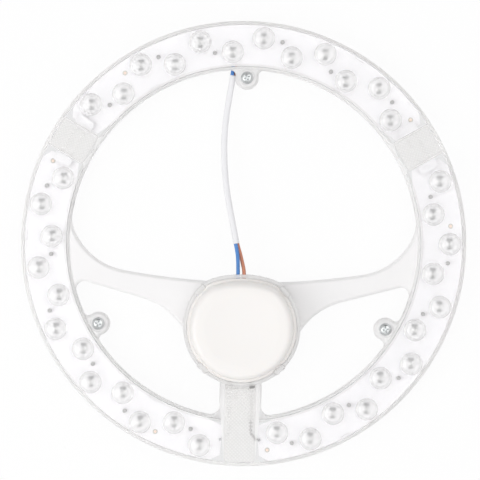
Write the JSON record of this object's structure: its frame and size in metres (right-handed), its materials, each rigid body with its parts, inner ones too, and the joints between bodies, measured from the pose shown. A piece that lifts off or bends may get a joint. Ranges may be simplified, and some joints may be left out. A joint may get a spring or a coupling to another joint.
{
  "type": "led ring module",
  "caption": "Flat clear-plastic light ring with domed lenses over white boards, an off-centre round driver box on curved arms, magnet feet and a mains lead.",
  "frame": {"origin": "on the ring's axis, in the plane where the magnets meet the lamp's tray", "axes": "+Z out of the lamp, the way the light goes; +Y from the driver hub through the ring's axis to the upper lug; +X to the right as seen from the lit side"},
  "size_m": [0.228, 0.228, 0.0265],
  "materials": {
    "clear_plastic": "gloss",
    "white_board": "satin",
    "led_package": "satin",
    "white_plastic": "satin",
    "nickel": "polished",
    "zinc_steel": "polished",
    "driver_laminate": "matte",
    "ferrite": "matte",
    "coil_tape": "satin",
    "capacitor_sleeve": "gloss",
    "film_case": "gloss",
    "black_package": "matte",
    "fuse_body": "satin",
    "terminal_plastic": "satin",
    "white_insulation": "satin",
    "black_insulation": "satin",
    "sheath_white": "satin",
    "core_blue": "satin",
    "core_brown": "satin",
    "tinned_copper": "satin"
  },
  "bodies": {
    "root": {"board_jumpers_left": "white_insulation", "board_jumpers_right": "white_insulation", "bridge_rectifier": "black_package", "bulk_capacitor": "capacitor_sleeve", "control_chip": "black_package", "core_tips": "tinned_copper", "driver_board": "driver_laminate", "driver_cap": "white_plastic", "film_capacitor": "film_case", "fuse_resistor": "fuse_body", "input_terminal": "terminal_plastic", "led_board_left": "white_board", "led_board_right": "white_board", "led_board_top": "white_board", "led_chips_left": "led_package", "led_chips_right": "led_package", "led_chips_top": "led_package", "lens_cover": "clear_plastic", "lug_screws": "zinc_steel", "magnet_left": "nickel", "magnet_right": "nickel", "magnet_top": "nickel", "mains_core_blue": "core_blue", "mains_core_brown": "core_brown", "mains_sheath": "sheath_white", "output_capacitor": "capacitor_sleeve", "output_diode": "black_package", "output_header": "terminal_plastic", "output_lead_dark": "black_insulation", "output_lead_white": "white_insulation", "transformer_coil": "coil_tape", "transformer_core": "ferrite"}
  },
  "joints": []
}
